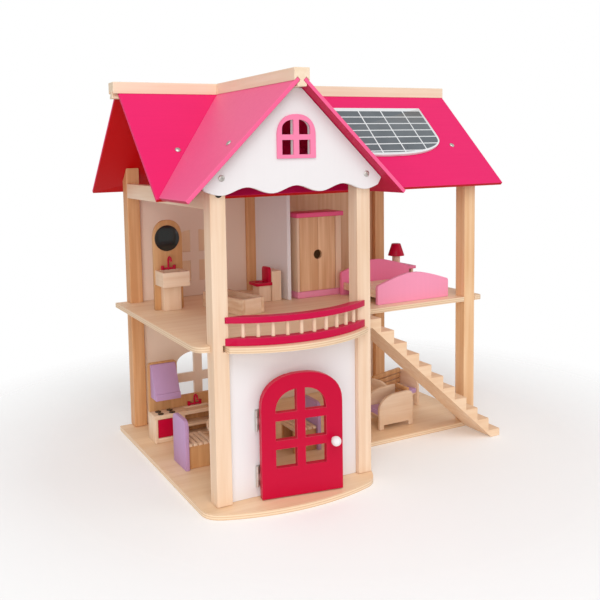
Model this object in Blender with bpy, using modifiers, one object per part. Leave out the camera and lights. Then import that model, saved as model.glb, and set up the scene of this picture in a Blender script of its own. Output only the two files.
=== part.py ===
"""Wooden dollhouse with a cross gable, a balcony bay and an outside stair.

The house is laid out in millimetres from its front left post: x to the right,
y to the back and z up from the table.  The part's own frame has its origin
under the middle of the house, so place() shifts and scales every length.
"""
import bpy
from math import atan, cos, degrees, pi, radians, sin, sqrt
from mathutils import Matrix, Vector

# Driving dimensions, millimetres
MM = 0.001
GAP = 0.3                     # between pieces that touch
POST = 20.0                   # side of a square post
BAY_WIDTH = 222.0             # left face of the front left post to right face of the bay's other post
LENGTH = 474.0                # to the right face of the right posts
DEPTH = 330.0                 # front face of the bay's posts to rear face of the rear posts
WING_FRONT = 83.0             # front face of the right wing
BOARD = 7.0                   # base and floor thickness
FLOOR_TOP = 202.0
BOARD_LEFT = -18.5
BOARD_RIGHT = 490.0
BOARD_REAR = 329.0
BAY_X = 0.5 * BAY_WIDTH       # middle of the bay
BASE_FRONT = -38.0            # foremost point of the base
KNOB_FRONT = -38.1            # foremost point of the house, on the door knob

RIDGE_Y = 206.5               # main ridge line
APEX = 519.25                 # height where the roofs' top faces would meet
PANEL = 5.0                   # roof panel thickness
ROOF_LEFT = -42.0
ROOF_RIGHT = 508.0
BEAM_LEFT = -50.0
MAIN_RUN = 145.0              # ridge to eaves, level
GABLE_RUN = 150.0
GABLE_FALL = 0.957            # drop of the gable slopes for each unit across
GABLE_FRONT = -23.5
BEAM_HALF = 10.5
BEAM_TOP = 525.0
BEAM_BOTTOM = 503.0

DOOR_WIDTH = 106.0
DOOR_HEIGHT = 153.0
DOOR_SPRING = 112.0           # where the door's arch starts
DOOR_THICK = 8.0
DOOR_BOTTOM = 8.2
DOOR_BACK = 0.3               # rear face of the shut door
DOOR_AJAR = 9.3               # degrees the door stands open
HINGE_X = 55.6
HINGE_Y = 3.4
HINGE_HEIGHT = 26.0
WALL_FRONT = 6.5              # front wall of the bay
WALL_THICK = 6.0
WALL_TOP = 380.0              # top of the upper rear walls
SUNK = 2.5                    # depth of the upper window's blind panes

RAIL_CENTRE = (BAY_X + 2.7, 150.0)    # centre of the rails' bend
RAIL_OUTER = 180.0
RAIL_INNER = 168.0
BALCONY_CENTRE = (BAY_X + 1.0, 138.0)
BALCONY_RADIUS = 176.0
LOW_RAIL = (202.3, 211.3)
TOP_RAIL = (229.0, 236.5)
BALUSTERS = 10
BALUSTER_STEP = 5.9           # degrees
BALUSTER_RADIUS = 2.4

STAIR_STEPS = 10
STAIR_RUN = 21.4
STAIR_RISE = 19.1
STAIR_FIRST_X = 259.5         # edge of the landing tread
STAIR_FRONT = 28.0
STAIR_DEEP = 25.0             # edge line down to the underside
STAIR_LANDING = 12.0

CENTRE_X = 0.5 * (BEAM_LEFT + ROOF_RIGHT)
CENTRE_Y = 0.5 * (KNOB_FRONT + RIDGE_Y + MAIN_RUN)
SLOPE = sqrt(0.5)
ARCH_POWER = 2.3              # roundness of the flattened arches

for old in list(bpy.data.objects):
    bpy.data.objects.remove(old, do_unlink=True)
house = bpy.data.collections.new("dollhouse")
cutters = bpy.data.collections.new("cutters")
bpy.context.scene.collection.children.link(house)
bpy.context.scene.collection.children.link(cutters)


# Materials

def linear(value):
    """One sRGB channel, 0 to 255, as a linear value."""
    share = value / 255.0
    return share / 12.92 if share <= 0.04045 else ((share + 0.055) / 1.055) ** 2.4


def material(name, rgb, roughness, metallic=0.0):
    """A Principled material of one colour."""
    made = bpy.data.materials.new(name)
    made.use_nodes = True
    shader = made.node_tree.nodes["Principled BSDF"]
    shader.inputs["Base Color"].default_value = (*[linear(value) for value in rgb], 1.0)
    shader.inputs["Roughness"].default_value = roughness
    shader.inputs["Metallic"].default_value = metallic
    return made


PINE = ("pine", (240, 214, 180), 0.55)
PLY = ("ply", (236, 205, 165), 0.55)
ROOF_PINK = ("roof_pink", (244, 55, 128), 0.35)
DEEP_PINK = ("deep_pink", (206, 20, 66), 0.35)
PALE_PINK = ("pale_pink", (253, 168, 196), 0.4)
WHITE = ("white_paint", (243, 240, 238), 0.45)
LILAC = ("lilac", (190, 160, 205), 0.45)
SOLAR = ("solar", (213, 217, 221), 0.3)
STEEL = ("steel", (200, 196, 190), 0.3, 1.0)


# Shapes

def place(x, y, z):
    """A point of the layout in the part's own frame."""
    return Vector(((x - CENTRE_X) * MM, (y - CENTRE_Y) * MM, z * MM))


def keep(obj, name, look, smooth=False):
    """Name a finished object, give it its own material and file it with the house."""
    obj.name = name
    obj.data.name = name
    obj.data.materials.clear()
    obj.data.materials.append(material(name + "_" + look[0], *look[1:]))
    if smooth:
        obj.data.shade_smooth()
        obj.data.set_sharp_from_angle(angle=radians(35))
    for group in list(obj.users_collection):
        group.objects.unlink(obj)
    house.objects.link(obj)
    return obj


def box(x0, x1, y0, y1, z0, z1):
    """A box between two corners given in the layout."""
    middle = place(0.5 * (x0 + x1), 0.5 * (y0 + y1), 0.5 * (z0 + z1))
    bpy.ops.mesh.primitive_cube_add(size=1.0, location=middle)
    obj = bpy.context.object
    obj.scale = ((x1 - x0) * MM, (y1 - y0) * MM, (z1 - z0) * MM)
    bpy.ops.object.transform_apply(location=False, rotation=False, scale=True)
    return obj


AXES = {
    "x": Matrix(((0, 0, 1), (1, 0, 0), (0, 1, 0))).to_4x4(),
    "y": Matrix(((1, 0, 0), (0, 0, -1), (0, 1, 0))).to_4x4(),
    "z": Matrix.Identity(4),
}


def prism(axis, loops, low, high):
    """Flat outlines drawn square to an axis and made solid from low to high.

    The first loop is the outline and the others are holes.  Points are
    (y, z) for axis x, (x, z) for axis y and (x, y) for axis z.
    """
    curve = bpy.data.curves.new("outline", "CURVE")
    curve.dimensions = "2D"
    curve.fill_mode = "BOTH"
    curve.extrude = 0.5 * (high - low) * MM
    for loop in loops:
        spline = curve.splines.new("POLY")
        spline.points.add(len(loop) - 1)
        spline.use_cyclic_u = True
        for point, (across, up) in zip(spline.points, loop):
            point.co = (across * MM, up * MM, 0.0, 1.0)
    flat = bpy.data.objects.new("outline", curve)
    house.objects.link(flat)
    along = {"x": (1, 0, 0), "y": (0, 1, 0), "z": (0, 0, 1)}[axis]
    middle = place(*[0.5 * (low + high) * step for step in along])
    flat.matrix_world = Matrix.Translation(middle) @ AXES[axis]
    return solid_from(flat)


def solid_from(flat):
    """The closed mesh of a curve object, with its caps welded."""
    bpy.context.view_layer.update()
    evaluated = flat.evaluated_get(bpy.context.evaluated_depsgraph_get())
    mesh = bpy.data.meshes.new_from_object(evaluated)
    obj = bpy.data.objects.new("solid", mesh)
    obj.matrix_world = flat.matrix_world.copy()
    curve = flat.data
    bpy.data.objects.remove(flat, do_unlink=True)
    bpy.data.curves.remove(curve)
    house.objects.link(obj)
    weld(obj)
    return obj


def weld(obj):
    """Join coincident points and turn every face outward."""
    import bmesh
    mesh = bmesh.new()
    mesh.from_mesh(obj.data)
    bmesh.ops.remove_doubles(mesh, verts=mesh.verts, dist=1e-6)
    bmesh.ops.recalc_face_normals(mesh, faces=mesh.faces)
    mesh.to_mesh(obj.data)
    mesh.free()


def turned(profile, x, y, z, steps=24):
    """A solid turned about an upright line; the profile runs (radius, height) from top to bottom."""
    mesh = bpy.data.meshes.new("turned")
    points = [(radius * MM, 0.0, height * MM) for radius, height in profile]
    mesh.from_pydata(points, [(i, i + 1) for i in range(len(points) - 1)], [])
    obj = bpy.data.objects.new("turned", mesh)
    house.objects.link(obj)
    obj.location = place(x, y, z)
    screw = obj.modifiers.new("turn", "SCREW")
    screw.steps = steps
    screw.render_steps = steps
    screw.use_merge_vertices = True
    screw.merge_threshold = 1e-5
    return obj


def combine(obj, other, operation):
    """A Boolean with a hidden second shape."""
    change = obj.modifiers.new(operation.lower(), "BOOLEAN")
    change.operation = operation
    change.solver = "EXACT"
    change.object = other
    for group in list(other.users_collection):
        group.objects.unlink(other)
    cutters.objects.link(other)
    other.hide_render = True
    other.display_type = "WIRE"
    other.name = "shape_for_" + obj.name
    return obj


def cut(obj, *others):
    """Take shapes away from an object."""
    for other in others:
        combine(obj, other, "DIFFERENCE")
    return obj


def join(obj, *others):
    """Add overlapping shapes to an object, as one body."""
    for other in others:
        combine(obj, other, "UNION")
    return obj


def curve_through(start, corner, end, steps=6):
    """A smooth bend from start to end that aims at the corner."""
    points = []
    for i in range(steps + 1):
        t = i / steps
        a, b, c = (1 - t) ** 2, 2 * t * (1 - t), t * t
        points.append((a * start[0] + b * corner[0] + c * end[0],
                       a * start[1] + b * corner[1] + c * end[1]))
    return points


def arc(centre, radius, first, last, steps):
    """Points on a circle from one angle to another, in degrees from straight ahead."""
    points = []
    for i in range(steps + 1):
        turn = radians(first + (last - first) * i / steps)
        points.append((centre[0] + radius * sin(turn), centre[1] - radius * cos(turn)))
    return points


def arch(middle, half, spring, rise, first=0.0, last=180.0, steps=20):
    """A flattened arch, from its right springing over the top to its left one."""
    points = []
    for i in range(steps + 1):
        turn = radians(first + (last - first) * i / steps)
        side = 1.0 if cos(turn) >= 0.0 else -1.0
        points.append((middle + half * side * abs(cos(turn)) ** (2 / ARCH_POWER),
                       spring + rise * abs(sin(turn)) ** (2 / ARCH_POWER)))
    return points


def four_panes(middle, sill, inner, outer, row_tops, spring, top):
    """Two rows of panes under an arch; row_tops are the heights of the lower row's two edges."""
    lower, upper = row_tops
    holes = []
    for side in (-1, 1):
        near, far = middle + side * inner, middle + side * outer
        holes.append([(near, sill), (far, sill), (far, lower), (near, lower)])
        start = degrees(0.5 * pi * (inner / outer) ** ARCH_POWER)
        bend = arch(middle, outer, spring, top - spring, 0.0, 90.0 - start, steps=8)
        bend = [(middle + side * (x - middle), z) for x, z in bend if x - middle > inner]
        holes.append([(near, upper), (far, upper)] + bend + [(near, top - 0.4)])
    return holes


# Boards and posts

def under_roof(distance, fall=1.0):
    """Height of the free space under a roof, at a level distance from its ridge."""
    return APEX - (PANEL + GAP) * sqrt(1.0 + fall * fall) - fall * distance


def base_board():
    """Base with the rounded bay in front of the left room."""
    radius = 300.0
    centre = (BAY_X, BASE_FRONT + radius)
    reach = degrees(BAY_X / radius) + 0.55
    front = arc(centre, radius, -reach, 17.3, 16)
    bay_right = BAY_WIDTH + 2.0
    outline = [(BOARD_LEFT, BOARD_REAR)]
    outline += curve_through((BOARD_LEFT, 8.0), (BOARD_LEFT, -9.0), front[0])
    outline += front[1:-1]
    outline += curve_through(front[-1], (216.0, -18.5), (bay_right, 4.0))
    outline += [(bay_right, WING_FRONT)]
    outline += curve_through((BOARD_RIGHT - 10.0, WING_FRONT), (BOARD_RIGHT, WING_FRONT),
                             (BOARD_RIGHT, WING_FRONT + 10.0))
    outline += [(BOARD_RIGHT, BOARD_REAR)]
    keep(prism("z", [outline], 0.0, BOARD), "base_board", PLY)


def upper_floor():
    """Floor with its balcony, slotted round the posts."""
    left, right = POST - 4.0, BAY_WIDTH - POST + 4.0
    inside = POST + GAP
    outline = [(BOARD_LEFT, BOARD_REAR)]
    outline += curve_through((BOARD_LEFT, 27.0), (BOARD_LEFT, 8.0), (-3.0, 8.0))
    outline += [(-GAP, 8.0), (-GAP, inside), (left, inside)]
    outline += arc(BALCONY_CENTRE, BALCONY_RADIUS, -33.06, 35.0, 22)
    outline += [(BAY_X + 102.0, -GAP), (right, -GAP), (right, inside)]
    outline += [(BAY_WIDTH - GAP, inside), (BAY_WIDTH - GAP, WING_FRONT)]
    near, far = LENGTH - POST - GAP, LENGTH + GAP
    outline += [(near, WING_FRONT), (near, WING_FRONT + inside), (far, WING_FRONT + inside),
                (far, WING_FRONT)]
    outline += curve_through((BOARD_RIGHT - 8.0, WING_FRONT), (BOARD_RIGHT, WING_FRONT),
                             (BOARD_RIGHT, WING_FRONT + 8.0))
    outline += [(BOARD_RIGHT, BOARD_REAR)]
    back = DEPTH - POST - GAP
    for x in (LENGTH, BAY_WIDTH, POST):
        near, far = x - POST - GAP, x + GAP
        outline += [(far, BOARD_REAR), (far, back), (near, back), (near, BOARD_REAR)]
    keep(prism("z", [outline], FLOOR_TOP - BOARD, FLOOR_TOP), "upper_floor", PLY)


def bay_post(name, x, notch_x):
    """A front post of the bay: its top follows the gable roof, and a notch holds the floor."""
    tops = [(side, under_roof(abs(side - BAY_X), GABLE_FALL)) for side in (x + POST, x)]
    outline = [(x, BOARD + GAP), (x + POST, BOARD + GAP)] + tops
    post = prism("y", [outline], 0.0, POST)
    cut(post, box(notch_x, notch_x + 0.5 * POST - 2.5, -1.0, POST + 1.0,
                  FLOOR_TOP - BOARD - GAP, FLOOR_TOP + GAP))
    keep(post, name, PINE)


def main_post(name, x, y):
    """A post whose top follows a slope of the main roof."""
    outline = [(y, BOARD + GAP), (y + POST, BOARD + GAP),
               (y + POST, under_roof(abs(y + POST - RIDGE_Y))), (y, under_roof(abs(y - RIDGE_Y)))]
    keep(prism("x", [outline], x, x + POST), name, PINE)


def posts():
    bay_post("post_front_left", 0.0, POST - 7.5)
    bay_post("post_front_right", BAY_WIDTH - POST, BAY_WIDTH - POST)
    main_post("post_rear_left", 0.0, DEPTH - POST)
    main_post("post_rear_middle", BAY_WIDTH - POST, DEPTH - POST)
    main_post("post_rear_right", LENGTH - POST, DEPTH - POST)
    main_post("post_right_front", LENGTH - POST, WING_FRONT)


def left_top_rail():
    """Side rail under the left roof, notched where the front roof panel passes."""
    rail = box(0.0, 12.0, POST + GAP, DEPTH - POST - GAP, 363.0, 384.5)
    cut(rail, roof_slab("main", -1, -20.0, 30.0, 2 * GAP))
    keep(rail, "left_top_rail", PINE)


# Walls

def front_wall():
    """Bay wall with the arched doorway."""
    left, right = POST + GAP, BAY_WIDTH - POST - GAP
    low, high = BOARD + GAP, FLOOR_TOP - BOARD - GAP
    half = 0.5 * DOOR_WIDTH - 6.0
    spring = DOOR_BOTTOM + DOOR_SPRING
    doorway = arch(BAY_X, half, spring, DOOR_HEIGHT - DOOR_SPRING - 6.0)
    outline = [(left, high), (left, low), (BAY_X - half, low)]
    outline += doorway[::-1]
    outline += [(BAY_X + half, low), (right, low), (right, high)]
    keep(prism("y", [outline], WALL_FRONT, WALL_FRONT + WALL_THICK), "front_wall", WHITE)


def rear_wall(name, left, right, low, high, window=None):
    """A thin panel between two rear posts; its window is cut "through" or only "sunk"."""
    outline = [(left + GAP, low), (right - GAP, low), (right - GAP, high), (left + GAP, high)]
    panes = []
    if window:
        floor = low - GAP
        panes = four_panes(BAY_X, floor + 24.0, 7.0, 37.0, (floor + 57.0, floor + 71.0),
                           floor + 84.0, floor + 106.0)
    wall = prism("y", [outline] + (panes if window == "through" else []), 318.0, 323.0)
    if window == "sunk":
        for pane in panes:
            cut(wall, prism("y", [pane], 316.0, 318.0 + SUNK))
    keep(wall, name, WHITE)


def walls():
    front_wall()
    ceiling = FLOOR_TOP - BOARD - GAP
    for name, left, right, windows in (
            ("left", POST, BAY_WIDTH - POST, ("through", "sunk")),
            ("right", BAY_WIDTH, LENGTH - POST, (None, None))):
        rear_wall("rear_wall_lower_" + name, left, right, BOARD + GAP, ceiling, windows[0])
        rear_wall("rear_wall_upper_" + name, left, right, FLOOR_TOP + GAP, WALL_TOP, windows[1])
    back = DEPTH - POST - GAP
    top = 440.0
    shape = [(204.3, FLOOR_TOP + GAP), (back, FLOOR_TOP + GAP), (back, under_roof(back - RIDGE_Y)),
             (RIDGE_Y + under_roof(0.0) - top, top), (204.3, top)]
    keep(prism("x", [shape], 215.5, 221.5), "upper_partition", WHITE)


# Roof

def roof_slab(which, side, low, high, margin=0.0, start=8.1, end=None, depth=PANEL):
    """One roof panel, or its space with a margin, as a tilted slab.

    side is -1 or 1 for the slope on either side of the ridge.  The slab runs
    from low to high along the ridge, and from start to end down the slope.
    """
    fall = 1.0 if which == "main" else GABLE_FALL
    stretch = sqrt(1.0 + fall * fall)
    end = end or (MAIN_RUN if which == "main" else GABLE_RUN) * stretch
    start -= margin
    end += margin
    depth += 2 * margin
    along = 0.5 * (start + end)
    below = 0.5 * depth - margin
    bpy.ops.mesh.primitive_cube_add(size=1.0)
    slab = bpy.context.object
    slab.scale = ((high - low) * MM, (end - start) * MM, depth * MM)
    bpy.ops.object.transform_apply(location=False, rotation=False, scale=True)
    down = Vector((0.0, 1.0, -fall)) / stretch
    under = Vector((0.0, -fall, -1.0)) / stretch
    middle = down * along + under * below
    tilt = Matrix.Rotation(-atan(fall), 4, "X")
    slab.matrix_world = ridge_frame(which, side, low, high) @ Matrix.Translation(middle * MM) @ tilt
    return slab


def ridge_frame(which, side, low, high):
    """Frame at the virtual ridge: local x along the ridge, local y level down the slope's side."""
    middle = 0.5 * (low + high)
    if which == "main":
        turn = 0.0 if side > 0 else pi
        return Matrix.Translation(place(middle, RIDGE_Y, APEX)) @ Matrix.Rotation(turn, 4, "Z")
    turn = -0.5 * pi if side > 0 else 0.5 * pi
    return Matrix.Translation(place(BAY_X, middle, APEX)) @ Matrix.Rotation(turn, 4, "Z")


def beam_outline(middle, top_face, fall=1.0):
    """Square bar with a slot on each side for the roof panels; top_face is the roof's apex height."""
    stretch = sqrt(1.0 + fall * fall)
    inner = 7.8                   # where the slots end, down the slope
    below = PANEL + GAP

    def slot_end(lift):
        return ((inner + fall * lift) / stretch, top_face + (lift - fall * inner) / stretch)

    half = [(BEAM_HALF, BEAM_TOP), (BEAM_HALF, top_face + GAP * stretch - fall * BEAM_HALF),
            slot_end(GAP), slot_end(-below), (6.2, top_face - below * stretch - fall * 6.2),
            (6.2, BEAM_BOTTOM)]
    right = [(middle + across, up) for across, up in half]
    left = [(middle - across, up) for across, up in reversed(half)]
    return right + left


def roof():
    keep(prism("x", [beam_outline(RIDGE_Y, APEX)], BEAM_LEFT, ROOF_RIGHT), "main_ridge_beam", PINE)
    back = RIDGE_Y - BEAM_HALF - GAP
    beam = prism("y", [beam_outline(BAY_X, APEX, GABLE_FALL)], GABLE_FRONT, back)
    keep(cut(beam, valley_space()), "gable_ridge_beam", PINE)
    keep(roof_slab("main", -1, ROOF_LEFT, ROOF_RIGHT), "roof_front_panel", ROOF_PINK)
    keep(roof_slab("main", 1, ROOF_LEFT, ROOF_RIGHT), "roof_rear_panel", ROOF_PINK)
    for name, side in (("gable_roof_left", -1), ("gable_roof_right", 1)):
        panel = roof_slab("gable", side, GABLE_FRONT + 0.5, back)
        keep(cut(panel, valley_space()), name, ROOF_PINK)


def valley_space():
    """Everything under the top face of the front roof slope."""
    return roof_slab("main", -1, -80.0, 300.0, GAP, start=-30.0, end=300.0, depth=160.0)


def gable_board():
    """White gable board with a scalloped lower edge and a window opening."""
    reach = 124.0
    bottom = under_roof(reach, GABLE_FALL) - GAP
    wave = 66.3
    steps = 48
    scallops = []
    for i in range(1, steps):
        x = BAY_X + reach - 2 * reach * i / steps
        scallops.append((x, 383.2 - 4.2 * cos(2 * pi * (x - 12.0) / wave)))
    top = BEAM_BOTTOM - GAP
    crown = (under_roof(0.0, GABLE_FALL) - GAP - top) / GABLE_FALL
    outline = [(BAY_X - reach, bottom), (BAY_X - crown, top), (BAY_X + crown, top),
               (BAY_X + reach, bottom)] + scallops
    loops = [outline] + gable_panes(1.0)
    keep(prism("y", loops, -6.3, -GAP), "gable_board", WHITE)
    frame = [(BAY_X - 26.5, 419.5), (BAY_X + 26.5, 419.5)]
    frame += [(x, z) for x, z in arch(BAY_X, 26.5, 445.5, 26.3)]
    keep(prism("y", [frame] + gable_panes(0.0), -8.6, -6.6), "gable_window_frame", PALE_PINK)


def gable_panes(spread):
    """Openings of the gable window, wider by spread on each side."""
    return four_panes(BAY_X - 0.5, 424.0 - spread, 3.8 - 0.5 * spread, 19.3 + spread,
                      (441.4 + spread, 447.8 - spread), 454.0, 465.5 + spread)


def solar_panel():
    """White plate with a curved lower edge on the front slope, right of the gable."""
    half = 105.5
    middle = 334.0
    top, bend, bottom = 44.5, 107.0, 144.5
    outline = [(-half, top), (half, top)]
    outline += [(x, s) for x, s in arch(0.0, half, bend, bottom - bend, steps=24)]
    flipped = [(-x, s) for x, s in outline]
    plate = prism("z", [flipped], 0.0, 4.0)
    frame = Matrix.Translation(place(middle, RIDGE_Y, APEX)) @ Matrix.Rotation(pi, 4, "Z")
    lift = Matrix.Translation(Vector((0.0, SLOPE, SLOPE)) * (GAP + 2.0) * MM)
    plate.matrix_world = frame @ lift @ Matrix.Rotation(radians(-45.0), 4, "X")
    keep(plate, "solar_panel", SOLAR)


# Balcony and stairs

def balcony_rail(name, heights):
    """A rail bent to the balcony's edge, flat where it meets the posts."""
    reach = 36.0
    outline = arc(RAIL_CENTRE, RAIL_OUTER, -reach, reach, 20)
    outline += arc(RAIL_CENTRE, RAIL_INNER, reach, -reach, 20)
    rail = prism("z", [outline], *heights)
    cut(rail, box(-30.0, BAY_WIDTH + 30.0, -GAP, 60.0, heights[0] - 5.0, heights[1] + 5.0))
    keep(rail, name, DEEP_PINK)


def balcony():
    balcony_rail("balcony_bottom_rail", LOW_RAIL)
    balcony_rail("balcony_top_rail", TOP_RAIL)
    radius = 0.5 * (RAIL_OUTER + RAIL_INNER)
    height = TOP_RAIL[0] - LOW_RAIL[1] - 2 * GAP
    for i in range(BALUSTERS):
        turn = radians(BALUSTER_STEP * (i - 0.5 * (BALUSTERS - 1)))
        bpy.ops.mesh.primitive_cylinder_add(vertices=12, radius=BALUSTER_RADIUS * MM,
                                            depth=height * MM)
        rod = bpy.context.object
        rod.location = place(RAIL_CENTRE[0] + radius * sin(turn),
                             RAIL_CENTRE[1] - radius * cos(turn),
                             0.5 * (TOP_RAIL[0] + LOW_RAIL[1]))
        keep(rod, "baluster_%02d" % (i + 1), PINE, smooth=True)


def stairs():
    """Sawtooth stair block from the upper floor down to the table."""
    fall = STAIR_RISE / STAIR_RUN
    end_x = STAIR_FIRST_X + STAIR_STEPS * STAIR_RUN
    outline = [(BAY_WIDTH + GAP, FLOOR_TOP)]
    for i in range(STAIR_STEPS):
        x = STAIR_FIRST_X + i * STAIR_RUN
        z = FLOOR_TOP - i * STAIR_RISE
        outline += [(x, z), (x, z - STAIR_RISE)]
    outline += [(end_x, FLOOR_TOP - STAIR_STEPS * STAIR_RISE), (end_x, 0.0)]
    under = FLOOR_TOP - STAIR_DEEP
    outline += [(STAIR_FIRST_X + under / fall, 0.0)]
    landing = FLOOR_TOP - STAIR_LANDING
    outline += [(STAIR_FIRST_X - (landing - under) / fall, landing), (BAY_WIDTH + GAP, landing)]
    keep(prism("y", [outline], STAIR_FRONT, WING_FRONT - GAP), "stairs", PLY)


# Front door

def hang_on_door(pivot, *objects):
    """Parent shut-position shapes to the hinge line's empty, keeping their places."""
    for obj in objects:
        obj.parent = pivot
        obj.matrix_parent_inverse = pivot.matrix_world.inverted()


def front_door():
    """Door, knob and hinge leaves, built shut and then swung ajar about the hinge line."""
    pivot = bpy.data.objects.new("door_pivot", None)
    cutters.objects.link(pivot)
    pivot.location = place(HINGE_X, HINGE_Y, 0.0)
    bpy.context.view_layer.update()
    front, back = DOOR_BACK - DOOR_THICK, DOOR_BACK
    half = 0.5 * DOOR_WIDTH
    low = DOOR_BOTTOM
    outline = [(BAY_X - half, low), (BAY_X + half, low)]
    outline += arch(BAY_X, half, low + DOOR_SPRING, DOOR_HEIGHT - DOOR_SPRING)
    inner, outer = 5.5, 33.0
    middle = BAY_X - 1.5
    panes = four_panes(middle, low + 71.3, inner, outer, (low + 95.5, low + 105.8),
                       low + 106.0, low + 134.0)
    for side in (-1, 1):
        near, far = middle + side * inner, middle + side * outer
        panes.append([(near, low + 36.8), (far, low + 36.8), (far, low + 60.3), (near, low + 60.3)])
    door = keep(prism("y", [outline] + panes, front, back), "front_door", DEEP_PINK)

    knob_x, knob_z, ball = BAY_X + half - 12.5, 73.0, 6.2
    neck = 2.6
    profile = [(0.0, 2.5 + 2 * ball)]
    for i in range(1, 9):
        turn = pi * i / 10
        profile.append((ball * sin(turn), 2.5 + ball + ball * cos(turn)))
    profile += [(neck, 2.4), (neck, 0.0), (0.0, 0.0)]
    knob = turned(profile, knob_x, front - GAP, knob_z)
    knob.rotation_euler = (radians(90.0), 0.0, 0.0)
    keep(knob, "door_knob", WHITE, smooth=True)

    leaves = []
    for name, base in (("upper", 91.0), ("lower", 21.0)):
        wall_leaf(name, base)
        leaves.append(door_leaf(name, base))
    hang_on_door(pivot, door, knob, *leaves)
    pivot.rotation_euler = (0.0, 0.0, radians(-DOOR_AJAR))


KNUCKLE = 2.0
LEAF = 1.0
LEAF_END = 70.0


def knuckle(low, high, radius=KNUCKLE):
    """A short barrel on the hinge line."""
    middle = place(HINGE_X, HINGE_Y, 0.5 * (low + high))
    bpy.ops.mesh.primitive_cylinder_add(vertices=20, radius=radius * MM, depth=(high - low) * MM,
                                        location=middle)
    return bpy.context.object


def wall_leaf(name, base):
    """Hinge leaf on the front wall, with the two outer knuckles."""
    third = HINGE_HEIGHT / 3
    top = base + HINGE_HEIGHT
    back = WALL_FRONT - GAP
    leaf = box(HINGE_X + KNUCKLE + 0.6, LEAF_END, back - LEAF, back, base, top)
    leaf.name = "hinge_" + name + "_wall_leaf"
    for low in (base, top - third):
        join(leaf, box(HINGE_X, HINGE_X + KNUCKLE + 2.0, back - LEAF, back, low, low + third),
             knuckle(low, low + third))
    cut(leaf, knuckle(base - 1.0, top + 1.0, 1.1))
    keep(leaf, leaf.name, STEEL)


def door_leaf(name, base):
    """Hinge leaf on the door's back, with the middle knuckle and the pin."""
    third = HINGE_HEIGHT / 3
    top = base + HINGE_HEIGHT
    low, high = base + third + GAP, top - third - GAP
    near = DOOR_BACK + GAP
    leaf = box(HINGE_X + KNUCKLE + 0.6, LEAF_END, near, near + LEAF, base, top)
    leaf.name = "hinge_" + name + "_door_leaf"
    join(leaf, box(HINGE_X, HINGE_X + KNUCKLE + 2.0, near, near + LEAF, low, high),
         knuckle(low, high), knuckle(base - 0.5, top + 0.5, 0.8))
    return keep(leaf, leaf.name, STEEL)


# Furniture, upper floor

def wardrobe():
    """Wardrobe with pink top and bottom boards and two pivoting doors."""
    floor = FLOOR_TOP + GAP
    front, back = 207.0, 247.0
    low, high = floor + 9.3, floor + 124.0
    body = box(234.5, 314.0, front, back, floor + 1.0, high + 1.0)
    join(body, box(233.0, 317.0, front - 3.0, back + 1.0, floor, low),
         box(233.0, 317.0, front - 3.0, back + 1.0, high, high + 7.0))
    cut(body, box(238.5, 304.5, front - 1.0, back - 4.0, low - 0.1, high + 0.1))
    middle = 0.5 * (238.5 + 304.5)
    pivots = {"left": 241.4, "right": 301.6}
    depth = front + 2.9
    for x in pivots.values():
        cut(body, barrel(x, depth, low - 2.5, high + 2.5, 1.4))
    keep(body, "wardrobe_body", PINE)
    for name, side in (("left", -1), ("right", 1)):
        x = pivots[name]
        near, far = sorted((x, middle + side * 0.2))
        door = box(near, far, depth - 2.5, depth + 2.5, low + 0.3, high - 0.3)
        door.name = "wardrobe_door_" + name
        grip = barrel(middle, 0.0, front - 3.0, front + 9.0, 7.5)
        grip.matrix_world = Matrix.Translation(place(middle, front + 3.0, 268.0)) \
            @ Matrix.Rotation(radians(90.0), 4, "X")
        join(door, barrel(x, depth, low + 0.3, high - 0.3, 2.5),
             barrel(x, depth, low - 1.8, high + 1.8, 1.0))
        keep(cut(door, grip), door.name, PINE)


def barrel(x, y, low, high, radius, vertices=20):
    """An upright cylinder between two heights."""
    bpy.ops.mesh.primitive_cylinder_add(vertices=vertices, radius=radius * MM,
                                        depth=(high - low) * MM,
                                        location=place(x, y, 0.5 * (low + high)))
    return bpy.context.object


def bed_board(name, low_y, shoulder, crown):
    """Pink end board of the bed, raised in the middle."""
    floor = FLOOR_TOP + GAP
    left, right = 306.0, 437.0
    middle = 0.5 * (left + right)
    top = curve_through((right, shoulder - 4.0), (right, shoulder), (right - 5.0, shoulder + 0.5), 3)
    top += curve_through((right - 5.0, shoulder + 0.5), (middle + 18.0, crown + 1.0),
                         (middle, crown), 5)[1:]
    top += curve_through((middle, crown), (middle - 18.0, crown + 1.0),
                         (left + 5.0, shoulder + 0.5), 5)[1:]
    top += curve_through((left + 5.0, shoulder + 0.5), (left, shoulder), (left, shoulder - 4.0), 3)[1:]
    keep(prism("y", [[(left, floor), (right, floor)] + top], low_y, low_y + 5.0), name, PALE_PINK)


def bed():
    bed_board("bed_footboard", 100.0, 231.0, 245.0)
    bed_board("bed_headboard", 194.0, 239.0, 253.5)
    base = box(309.0, 434.0, 105.3, 193.7, 211.0, 222.0)
    keep(base, "bed_base", PINE)


def bedside():
    """Cabinet with an open front, and the table lamp on it."""
    floor = FLOOR_TOP + GAP
    cabinet = box(412.0, 454.0, 204.0, 242.0, floor, 231.0)
    join(cabinet, box(408.0, 458.0, 202.0, 244.0, 230.0, 235.5))
    cut(cabinet, box(416.0, 450.0, 200.0, 238.0, floor + 4.0, 226.0))
    keep(cabinet, "bedside_cabinet", PINE)
    profile = [(0.0, 33.5), (6.2, 33.5), (14.8, 13.8), (7.5, 13.8), (7.5, 0.0), (0.0, 0.0)]
    keep(turned(profile, 430.0, 222.0, 235.5 + GAP), "table_lamp", DEEP_PINK, smooth=True)


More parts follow.
